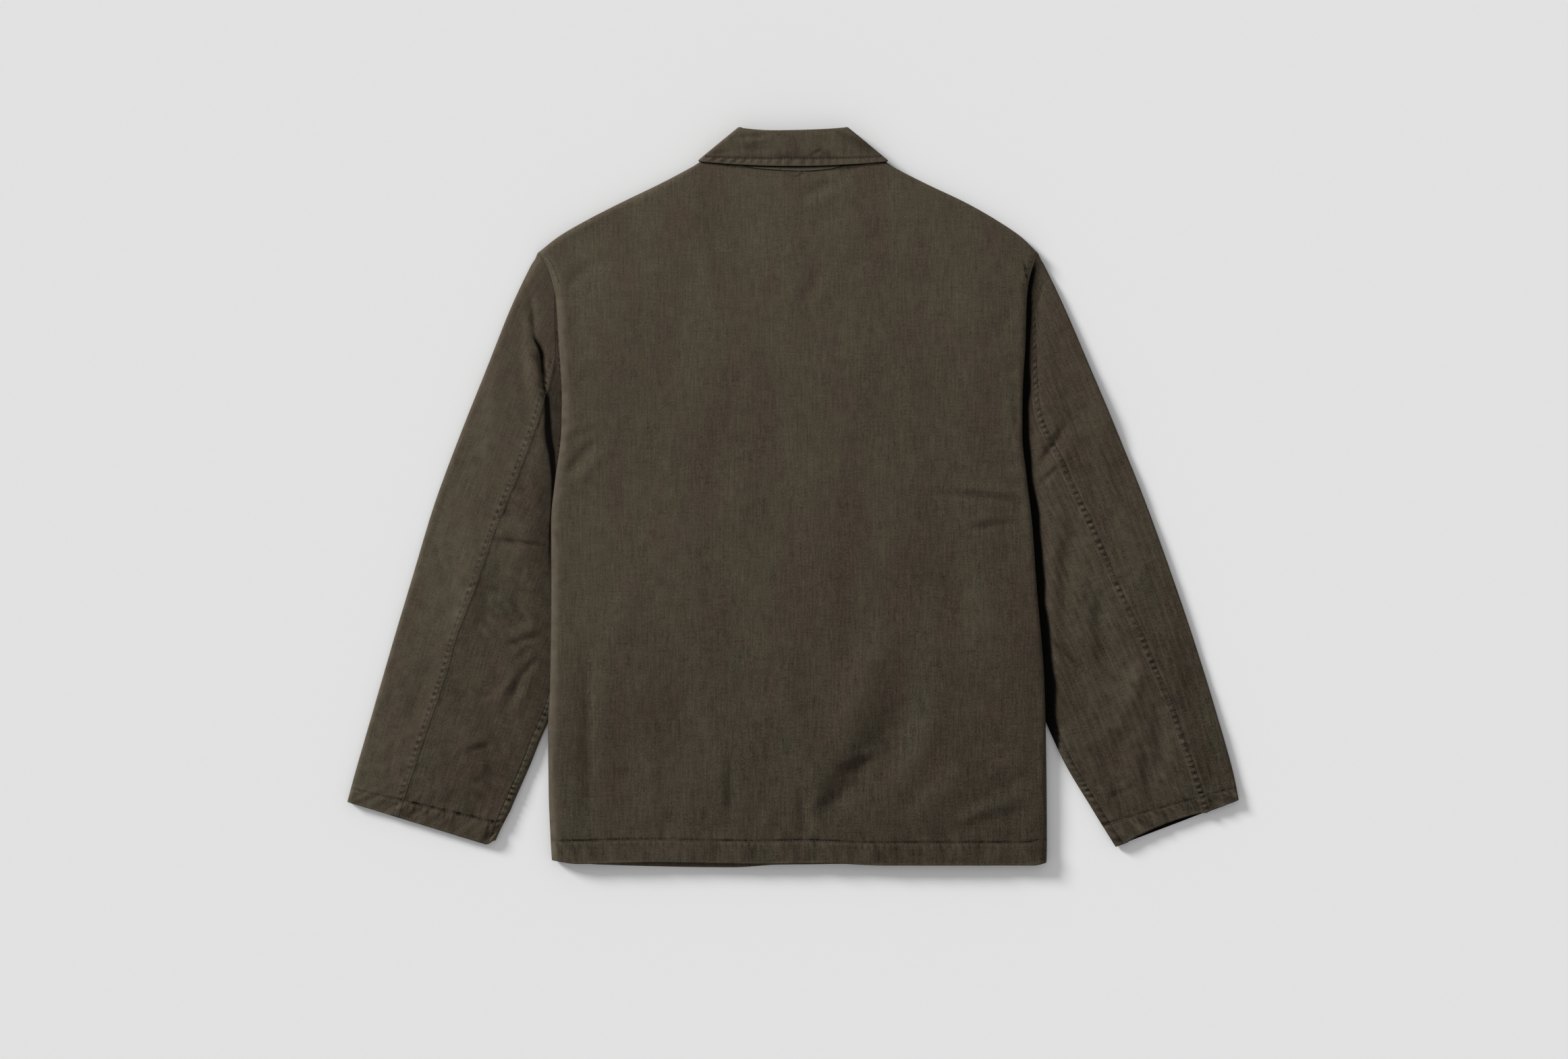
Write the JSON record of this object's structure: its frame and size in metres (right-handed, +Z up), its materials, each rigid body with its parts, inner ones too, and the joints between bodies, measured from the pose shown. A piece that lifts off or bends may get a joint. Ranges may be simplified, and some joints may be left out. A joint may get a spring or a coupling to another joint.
{
  "type": "deck jacket",
  "caption": "Deck jacket of brown herringbone cotton laid flat with its back up, shirt collar, two-piece sleeves and five front buttons underneath.",
  "frame": {"origin": "on the surface it lies on, below the centre of its footprint", "axes": "+X to the right of the jacket as it lies with its back up, +Y towards the collar, +Z up from the surface"},
  "size_m": [0.9262, 0.7683, 0.0196],
  "materials": {
    "herringbone_cotton": "matte",
    "button_plastic": "satin"
  },
  "bodies": {
    "root": {"back": "herringbone_cotton", "front_left": "herringbone_cotton", "front_right": "herringbone_cotton", "sleeve_top_left": "herringbone_cotton", "sleeve_top_right": "herringbone_cotton", "sleeve_under_left": "herringbone_cotton", "sleeve_under_right": "herringbone_cotton", "collar_leaf": "herringbone_cotton", "collar_stand": "herringbone_cotton", "button_1": "button_plastic", "button_2": "button_plastic", "button_3": "button_plastic", "button_4": "button_plastic", "button_5": "button_plastic"}
  },
  "joints": []
}
